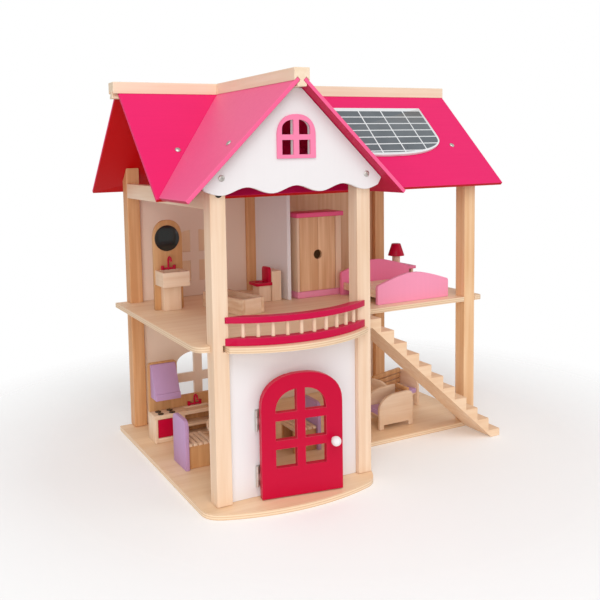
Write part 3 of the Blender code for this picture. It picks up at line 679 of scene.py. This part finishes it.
# %% Assembling
def assemble(name, parts, node=None, width=0.6):
    """Join parts into one piece, sand its edges and hand it to the frame."""
    obj = settle(joined(parts))
    obj.name = name
    obj.data.name = name
    if width:
        edge = obj.modifiers.new("sanded", "BEVEL")
        edge.width = width * MM
        edge.segments = 2
        edge.limit_method = "ANGLE"
        edge.angle_limit = radians(35)
        bpy.ops.object.modifier_apply(modifier="sanded")
    bpy.ops.object.shade_smooth_by_angle(angle=radians(32))
    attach(obj, "house")
    if node:
        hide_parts(node)
    print(name, len(obj.data.polygons), "faces")


print("Assembling ready")

# %% [markdown]
# A few items stand at an angle.  They are modelled square at the house's corner
# and then turned and moved to their place in one go.

# %% Turning
def turned(parts, x, y, turn):
    """Join parts, turn them about the corner of the house and move them to a place."""
    obj = joined(parts)
    spin = Matrix.Rotation(radians(turn), 4, "Z")
    obj.matrix_world = Matrix.Translation(at(x, y, 0)) @ spin @ Matrix.Translation(-at(0, 0, 0))
    return [obj]


print("Turning ready")

# %% [markdown]
# ## Wardrobe
#
# The wardrobe is a pine case between a pink top and a pink bottom board, with
# two doors that meet at a round finger hole.  The case is made from five boards,
# set in a little from the edges of the top and the bottom.

# %% Wardrobe case
low, high = span("wardrobe_body")
front, back = low.y + 3.0, high.y - 1.0
inner_low, inner_high = 211.6, 326.3
left_side, right_side = (234.5, 238.5), (304.5, 314.0)
case = [
    block(low.x, high.x, low.y, high.y, FLOOR + CLEAR, inner_low, "pale_pink"),
    block(low.x, high.x, low.y, high.y, inner_high, high.z, "sheen_pink"),
    block(*left_side, front, back, inner_low, inner_high, "pine_z"),
    block(*right_side, front, back, inner_low, inner_high, "pine_z"),
    block(left_side[1], right_side[0], back - 4.0, back, inner_low, inner_high, "oiled"),
]
assemble("wardrobe_case", case, "wardrobe_body", width=0.5)

# %% [markdown]
# The doors swing on bodies of their own, so they stay the frame's parts.  They
# only get a finish here, in a warmer pine with its grain upright.

# %% Wardrobe doors
for node in ("wardrobe_door_left", "wardrobe_door_right"):
    dress(node, "planks", 0.4)
    low, high = span(node)
    print(node, "spans", round(high.x - low.x, 1), "mm")

# %% [markdown]
# ## Bed
#
# The pink end boards with their low arched tops are frame parts.  Between them
# lies a pine slab that carries six long planks between two end bars.

# %% Bed
dress("bed_footboard", "pale_pink", 1.2)
dress("bed_headboard", "frame_pink", 1.2)
low, high = span("bed_base")
slab, bar = low.z + 5.0, 4.0
plank, plank_step = 10.5, 14.4
bed = [block(low.x, high.x, low.y, high.y, low.z, slab, "pine_x")]
for x in (low.x, high.x - bar):
    bed.append(block(x, x + bar, low.y, high.y, slab, high.z, "pine_y"))
for i in range(6):
    y = low.y + 3.0 + i * plank_step
    bed.append(block(low.x + bar, high.x - bar, y, y + plank, slab, high.z - 2.0, "pine_x"))
assemble("bed_frame", bed, "bed_base")

# %% [markdown]
# ## Bedside cabinet
#
# The cabinet is a pine box with an open front and a pink top, made from five
# boards.

# %% Bedside cabinet
low, high = span("bedside_cabinet")
top = high.z - 5.0
cabinet = [
    block(low.x, high.x, low.y, high.y, top, high.z, "frame_pink"),
    block(low.x + 4, low.x + 8, low.y + 2, high.y - 2, low.z, top, "pine_z"),
    block(high.x - 8, high.x - 4, low.y + 2, high.y - 2, low.z, top, "pine_z"),
    block(low.x + 8, high.x - 8, low.y + 2, high.y - 2, low.z, low.z + 4, "pine_x"),
    block(low.x + 8, high.x - 8, high.y - 6, high.y - 2, low.z + 4, top, "pine_x"),
]
assemble("bedside_box", cabinet, "bedside_cabinet")

# %% [markdown]
# ## Lamp
#
# The lamp is turned: a wooden foot carries a red shade, wide at the bottom.  Its
# frame part is a rough stand-in, so it is set a little off from it.

# %% Lamp
low, high = span("table_lamp")
shift = 2.5
x, y = 0.5 * (low.x + high.x) + shift, 0.5 * (low.y + high.y)
shade = low.z + 16.0
lamp = [
    rod(x, y, low.z, shade, 6.4, "pine_z"),
    rod(x, y, shade, high.z + shift, 13.6, "deep_pink", top=7.2, steps=40),
]
assemble("bedside_lamp", lamp, "table_lamp", width=0.7)

# %% [markdown]
# ## Washbasin
#
# An arched pine board carries a round mirror and a box-shaped basin, made from
# four walls round a white floor, on a pedestal.

# %% Washbasin
low = span("washbasin")[0]
middle, half = 36.5, 22.0
left, right, front, back = 15.5, 55.5, 205.0, 239.0
bottom, rim, wall = 240.0, 261.0, 5.0
mirror_x, mirror_z = 35.0, 306.5
outline = [(middle - half, low.z), (middle + half, low.z)] + arch(middle, half, 306.0, 27.0)
basin = [
    board("y", back, back + 6.0, "oiled", outline),
    block(left, right, front, front + wall, bottom, rim, "pine_x"),
    block(left, right, back - wall, back, bottom, rim, "pine_x"),
    block(left, left + wall, front + wall, back - wall, bottom, rim, "pine_y"),
    block(right - wall, right, front + wall, back - wall, bottom, rim, "pine_y"),
    block(left + wall, right - wall, front + wall, back - wall, bottom, bottom + 10.0, "white"),
    block(23.5, 50.0, 226.0, back, low.z, bottom, "pine_z"),
    rod(mirror_x, mirror_z, 237.2, back, 18.7, "black", axis="y", steps=48),
    rod(mirror_x, mirror_z, 236.9, 237.3, 17.4, "mirror", axis="y", steps=48),
]
assemble("washbasin_unit", basin, "washbasin", width=0.5)

# %% [markdown]
# The tap is a swan neck: a curve through a half circle of points, made round by
# its bevel.  A short bar crosses its foot, with an upright handle at each end.
# The kitchen sink has the same tap, so it is a function.

# %% Tap
def tube(name, points, radius, look):
    """A bent round bar through points."""
    clear_selection()
    path = bpy.data.curves.new(name, "CURVE")
    path.dimensions = "3D"
    path.bevel_depth = radius * MM
    path.bevel_resolution = 3
    path.use_fill_caps = True
    spline = path.splines.new("POLY")
    spline.points.add(len(points) - 1)
    for point, place in zip(spline.points, points):
        point.co = (*at(*place), 1.0)
    obj = bpy.data.objects.new(name, path)
    bpy.context.scene.collection.objects.link(obj)
    return as_mesh(obj, look)


def tap(name, x, y, z, height):
    """A small tap: a swan neck between two handles on a short bar."""
    curve, reach, thick, look = 6, 9, 1.5, "deep_pink"
    neck = [(x, y, z)]
    for i in range(13):
        turn = pi * i / 12
        neck.append((x, y - curve + curve * cos(turn), z + height - curve + curve * sin(turn)))
    parts = [tube("neck", neck, thick, look)]
    parts.append(tube("bar", [(x - reach, y, z + 2), (x + reach, y, z + 2)], thick, look))
    for side in (-reach, reach):
        parts.append(rod(x + side, y, z + 0.5, z + 6.5, 2.4, look, steps=16))
    assemble(name, parts, width=0)


tap("basin_tap", 34.0, 233.0, 261.2, 19.0)

# %% [markdown]
# ## Bathtub
#
# The tub is a pine box with a white floor, turned a little in the room.  It is
# modelled round the corner of the house, from half its width and length.

# %% Bathtub
tub_low, tub_top = FLOOR + CLEAR, 225.0
wide, inner_wide = 20.0, 14.5
long, inner_long = 47.0, 41.0
tub = [
    block(-wide, -inner_wide, -long, long, tub_low, tub_top, "figured"),
    block(inner_wide, wide, -long, long, tub_low, tub_top, "figured"),
    block(-inner_wide, inner_wide, -long, -inner_long, tub_low, tub_top, "pine_x"),
    block(-inner_wide, inner_wide, inner_long, long, tub_low, tub_top, "pine_x"),
    block(-inner_wide, inner_wide, -inner_long, inner_long, tub_low, tub_low + 5.0, "white"),
]
assemble("bathtub_box", turned(tub, 113.5, 185.0, 12.0), "bathtub")

# %% [markdown]
# ## Toilet
#
# The toilet has a wooden pan and cistern, with a red seat ring and a lid that
# stands open.  The ring's hole is an ellipse.

# %% Toilet
low = span("toilet")[0]
pan_top = 227.0
seat_ring = bend((168.0, 208.0), (164.0, 208.0), (164.0, 212.0), 4)
seat_ring += bend((164.0, 232.0), (164.0, 236.0), (168.0, 236.0), 4)
seat_ring += [(191.0, 236.0), (191.0, 208.0)]
hole = [(176.0 + 8.0 * cos(2 * pi * i / 24), 222.0 + 7.0 * sin(2 * pi * i / 24)) for i in range(24)]
lid = [(211.0, 230.5), (233.0, 230.5)] + bend((233.0, 248.0), (233.0, 254.0), (227.0, 254.0), 5)
lid += bend((217.0, 254.0), (211.0, 254.0), (211.0, 248.0), 5)
toilet = [
    block(170.0, 190.0, 211.0, 233.0, low.z, pan_top, "pine_z"),
    board("z", pan_top, pan_top + 4.5, "deep_pink", seat_ring, hole),
    board("x", 186.0, 190.5, "deep_pink", lid),
    block(190.6, 206.0, 208.0, 236.0, low.z, 248.0, "pine_z"),
]
assemble("toilet_set", toilet, "toilet")

# %% [markdown]
# ## Kitchen
#
# A low pine cabinet holds an oven with a red door and two open shelves.  Its
# worktop is two layers: the upper one is four boards round the sink.  The back
# board is tall behind the hob, where a lilac hood hangs, and low behind the sink.

# %% Kitchen
low, high = span("kitchen_unit")
left, right, front, back = low.x, high.x, low.y, high.y
cabinet_top, slab, worktop = 42.5, 45.0, 48.0
side, oven_right, shelf_left = 4.5, 33.0, 52.0
shelf_right, shelf_front, shelf_back = right - 5.0, front + 0.5, 249.0
sink_left, sink_right, sink_front = 56.0, 96.0, front + 4.0
panel, low_panel, tall_panel, tall_right = 253.0, 64.5, 121.0, 50.0
outline = [(left, worktop), (right, worktop), (right, low_panel), (tall_right, low_panel)]
outline += bend((tall_right, 115.0), (tall_right, tall_panel), (44.0, tall_panel), 4)
outline += bend((left + 6.0, tall_panel), (left, tall_panel), (left, 115.0), 4)
hood = [(panel, 70.0), (panel, 119.0), (249.0, 119.0), (front + 3.0, 79.5), (front, 79.0),
        (front, 70.0)]
kitchen = [
    block(left, left + side, front, back, low.z, cabinet_top, "pine_z"),
    block(shelf_right, right, front, back, low.z, cabinet_top, "pine_z"),
    block(oven_right, shelf_left, shelf_front, back, low.z, cabinet_top, "pine_z"),
    block(left + side, oven_right, shelf_front, back, low.z, 14.0, "pine_x"),
    block(left + side, oven_right, front + 2.5, back, 14.0, cabinet_top, "pine_x"),
    block(9.5, 32.5, front + 0.4, front + 3.0, 15.0, 41.5, "deep_pink"),
    block(shelf_left, shelf_right, shelf_front, shelf_back, low.z, 11.0, "pine_x"),
    block(shelf_left, shelf_right, shelf_front, shelf_back, 24.0, 28.0, "pine_x"),
    block(shelf_left, shelf_right, shelf_back, back, low.z, cabinet_top, "oiled"),
    block(left, right, front, back, cabinet_top, slab, "pine_x"),
    block(left, sink_left, front, back, slab, worktop, "pine_x"),
    block(sink_right, right, front, back, slab, worktop, "pine_x"),
    block(sink_left, sink_right, front, sink_front, slab, worktop, "pine_x"),
    block(sink_left, sink_right, shelf_back, back, slab, worktop, "pine_x"),
    board("y", panel, back, "oiled", outline),
    board("x", left + 3.0, 46.0, "lilac", hood),
]
for x, y in ((16, 236), (34, 236), (16, 247), (34, 247)):
    kitchen.append(rod(x, y, worktop, worktop + 0.9, 4.6, "black"))
for x in (13.0, 21.0, 29.0):
    kitchen.append(rod(x, 44.8, front + 0.2, front + 1.0, 1.3, "black", axis="y", steps=14))
assemble("kitchen_block", kitchen, "kitchen_unit", width=0.4)
tap("sink_tap", 76.0, 251.0, 48.2, 17.0)

# %% [markdown]
# ## Table
#
# The round table is turned: a thick top, a column that narrows upwards and a
# round foot.

# %% Table
low, high = span("round_table")
x, y = 0.5 * (low.x + high.x), 0.5 * (low.y + high.y)
radius = 0.5 * (high.x - low.x)
table = [
    rod(x, y, high.z - 6.0, high.z, radius, "pine_x", steps=72),
    rod(x, y, low.z + 5.0, high.z - 6.0, 8.5, "pine_z", top=6.0, steps=32),
    rod(x, y, low.z, low.z + 5.0, 24.0, "pine_x", steps=48),
]
assemble("table_round", table, "round_table", width=0.9)

# %% [markdown]
# ## Chairs
#
# Each chair has a tall painted back and a seat of five pine slats on two side
# panels.  The two chairs face each other across the table, so one function makes
# both.

# %% Chairs
def chair(name, node, facing):
    """A chair with a painted back; facing is 1 when the seat is to the right of it."""
    low, high = span(node)
    start = low.x if facing > 0 else high.x
    thick, deep, slat, slat_step = 5.5, 36.0, 5.6, 7.35
    seat_low, seat_top = 38.5, 42.0
    back = sorted((start, start + facing * thick))
    outline = [(low.y, low.z), (high.y, low.z)]
    outline += bend((high.y, high.z - 10.0), (high.y, high.z), (high.y - 10.0, high.z), 5)
    outline += bend((low.y + 10.0, high.z), (low.y, high.z), (low.y, high.z - 10.0), 5)
    parts = [board("x", *back, "lilac", outline)]
    seat = sorted((start + facing * thick, start + facing * (thick + deep)))
    for i in range(5):
        near = seat[0] + i * slat_step
        parts.append(block(near, near + slat, low.y + 2, high.y - 2, seat_low, seat_top, "pine_y"))
    for y in (low.y + 4.0, high.y - 9.0):
        parts.append(block(*seat, y, y + 5.0, low.z, seat_low, "oiled"))
    assemble(name, parts, node)


chair("chair_left_set", "chair_left", 1)
chair("chair_right_set", "chair_right", -1)

# %% [markdown]
# ## Sofa and armchair
#
# Both have rounded side panels on two feet, a pine back of four slats and a
# lilac seat, so they are one function with a length, a depth and a turn.

# %% Sofa and armchair
def lounge(name, node, length, depth, x, y, turn):
    """Side panels, a slatted back and a lilac seat, turned to face into the room."""
    floor, top = BASE + CLEAR, 60.0
    long, deep = ("pine_x", "pine_y") if abs(turn) < 45 else ("pine_y", "pine_x")
    outline = [(0.0, floor), (8.0, floor), (8.0, floor + 7.0), (depth - 8.0, floor + 7.0),
               (depth - 8.0, floor), (depth, floor)]
    outline += bend((depth, top - 8.0), (depth, top), (depth - 8.0, top + 1.0), 5)
    outline += bend((0.45 * depth, top), (2.0, top - 4.0), (0.0, top - 22.0), 10)
    parts = [board("x", 0.0, 5.0, deep, outline), board("x", length - 5.0, length, deep, outline),
             block(5.0, length - 5.0, 3.0, depth - 2.0, 26.0, 29.0, long),
             block(5.5, length - 5.5, 2.0, depth - 8.5, 29.0, 36.0, "lilac")]
    for i in range(4):
        z = 31.0 + i * 8.6
        parts.append(block(5.0, length - 5.0, depth - 8.0, depth - 3.0, z, z + 7.0, "oiled"))
    assemble(name, turned(parts, x, y, turn), node)


lounge("armchair_set", "armchair", 39.0, 62.0, 318.0, 152.0, -90.0)
lounge("sofa_set", "sofa", 80.0, 42.0, 368.9, 156.4, 16.2)

# %% [markdown]
# ## Screws
# Round-headed zinc screws with a cross slot hold the roof and the gable board.
# A head is a flattened sphere with its lower half cut off, and two thin boxes
# cut the slot.  A roof screw stands square to its slope: the main roof falls as
# much as it runs, the gable a little less.  A thin black disc in front of a post
# shows the dark of a hole there: painted shade.

# %% Screws
def screw(name, place, normal):
    """A domed screw head with a cross slot, standing on a surface."""
    radius, dome = 4.0, 0.45
    clear_selection()
    bpy.ops.mesh.primitive_uv_sphere_add(segments=24, ring_count=12, radius=radius * MM)
    head = bpy.context.object
    head.scale = (1.0, 1.0, dome)
    bpy.ops.object.transform_apply(scale=True)
    bpy.ops.object.mode_set(mode="EDIT")
    bpy.ops.mesh.select_all(action="SELECT")
    bpy.ops.mesh.bisect(plane_co=(0, 0, 0.0002), plane_no=(0, 0, 1), use_fill=True, clear_inner=True)
    bpy.ops.object.mode_set(mode="OBJECT")
    for size in ((1.3, 0.2), (0.2, 1.3)):
        clear_selection()
        bpy.ops.mesh.primitive_cube_add(size=1.0, location=(0, 0, radius * dome * MM))
        slot = bpy.context.object
        slot.scale = (size[0] * radius * MM, size[1] * radius * MM, radius * 0.4 * MM)
        bpy.ops.object.transform_apply(location=True, scale=True)
        only(head)
        cut = head.modifiers.new("slot", "BOOLEAN")
        cut.operation = "DIFFERENCE"
        cut.solver = "EXACT"
        cut.object = slot
        bpy.ops.object.modifier_apply(modifier="slot")
        bpy.data.objects.remove(slot, do_unlink=True)
    facing = normal.to_track_quat("Z", "Y").to_matrix().to_4x4()
    head.matrix_world = Matrix.Translation(at(*place)) @ facing
    head.data.materials.append(looks["zinc"])
    assemble(name, [head], width=0)


RIDGE_Y = 206.5
APEX = 519.25
GABLE_X = 111.0
GABLE_FALL = 0.957
GABLE_FACE = -6.4
PROUD = 0.1
screw("gable_screw_left", (12.5, GABLE_FACE, 399.0), Vector((0, -1, 0)))
screw("gable_screw_right", (212.3, GABLE_FACE, 398.0), Vector((0, -1, 0)))
for name, x, y in (("roof_screw_left", 10.0, 120.0), ("roof_screw_right", 460.0, 119.0)):
    screw(name, (x, y, APEX - (RIDGE_Y - y) + PROUD), Vector((0, -1, 1)))
x, y = 27.0, 3.0
screw("gable_roof_screw", (x, y, APEX - GABLE_FALL * (GABLE_X - x) + PROUD), Vector((-GABLE_FALL, 0, 1)))
# A thin black disc in the gap before the post: painted shade of a hole.
hole_shade_disc = rod(11.0, 381.0, -0.28, -0.03, 4.6, "black", axis="y")
assemble("post_hole_shade_disc", [hole_shade_disc], width=0)

# %% [markdown]
# ## Stage
#
# The camera stands in front and to the left, a little below the ridge, and looks
# slightly down.  Its view is shifted, which frames the house to one side.

# %% Camera
eye = Vector((-0.57965, -0.9581, 0.42821))
yaw, pitch, roll = radians(25.97), radians(5.43), radians(-1.26)
ahead = Vector((sin(yaw) * cos(pitch), cos(yaw) * cos(pitch), -sin(pitch)))
right = Vector((cos(yaw), -sin(yaw), 0.0))
up = right.cross(ahead)
side = right * cos(roll) + up * sin(roll)
head = up * cos(roll) - right * sin(roll)
camera = bpy.data.objects.new("camera", bpy.data.cameras.new("camera"))
bpy.context.scene.collection.objects.link(camera)
turn = Matrix((side, head, -ahead)).transposed().to_4x4()
camera.matrix_world = Matrix.Translation(eye) @ turn
camera.data.lens = 45.96
camera.data.sensor_width = 36.0
camera.data.shift_x = 0.0975
camera.data.shift_y = -0.125
camera.data.clip_start = 0.01
bpy.context.scene.camera = camera
print("Camera at", [round(v, 3) for v in eye])

# %% [markdown]
# The floor is a plain pale sheet.  It fades out with distance, so that no
# horizon line shows against the white room.

# %% Floor
clear_selection()
bpy.ops.mesh.primitive_plane_add(size=12.0, location=(0, 0, -0.0002))
floor = bpy.context.object
floor.name = "floor"
pale = Finish("pale_floor", 0.9, shine=0.1)
pale.shader.inputs["Emission Color"].default_value = (1.0, 1.0, 1.0, 1)
pale.shader.inputs["Emission Strength"].default_value = 0.12
away = pale.node("VectorMath", {"operation": "LENGTH"}, {0: pale.place}, "Value")
fading = pale.ramp(away * 0.5, (0.19, 1.0), (0.33, 0.0))
pale.tree.links.new(fading.socket, pale.shader.inputs["Alpha"])
grey = pale.noise(3.0, detail=2.0)
floor.data.materials.append(pale.finish(pale.mix(grey, (0.93, 0.93, 0.93, 1), (0.9, 0.9, 0.9, 1))))
print("Floor laid; it fades into the white room")

# %% [markdown]
# The light is soft: a large key lamp from above, a weak fill from the right and
# a low lamp on the left that reaches under the roof into the rooms.  The camera
# sees a white room, but the room lights the paint with less than that, which
# keeps the reds full.

# %% Light
world = bpy.data.worlds.new("studio")
bpy.context.scene.world = world
world.use_nodes = True
sky = world.node_tree
seen = sky.nodes["Background"]
seen.inputs["Color"].default_value = (1.0, 1.0, 1.0, 1)
seen.inputs["Strength"].default_value = 1.0
glow = sky.nodes.new("ShaderNodeBackground")
glow.inputs["Color"].default_value = (1.0, 0.985, 0.98, 1)
glow.inputs["Strength"].default_value = 0.58
path = sky.nodes.new("ShaderNodeLightPath")
both = sky.nodes.new("ShaderNodeMixShader")
sky.links.new(path.outputs["Is Camera Ray"], both.inputs[0])
sky.links.new(glow.outputs[0], both.inputs[1])
sky.links.new(seen.outputs[0], both.inputs[2])
sky.links.new(both.outputs[0], sky.nodes["World Output"].inputs["Surface"])


def soft_light(name, place, target, size, power):
    """A large square lamp that points at a place."""
    lamp = bpy.data.objects.new(name, bpy.data.lights.new(name, "AREA"))
    bpy.context.scene.collection.objects.link(lamp)
    lamp.location = place
    lamp.data.size = size
    lamp.data.energy = power
    lamp.rotation_euler = (Vector(target) - Vector(place)).to_track_quat("-Z", "Y").to_euler()


soft_light("key", (-0.7, -1.9, 2.5), (0, 0, 0.25), 1.6, 26.0)
soft_light("fill", (1.8, -1.6, 1.1), (0, 0, 0.25), 1.4, 6.0)
soft_light("rooms", (-1.5, -2.0, 0.6), (0, 0, 0.28), 1.5, 18.0)
bpy.context.scene.view_settings.view_transform = "Standard"
print("Stage set")
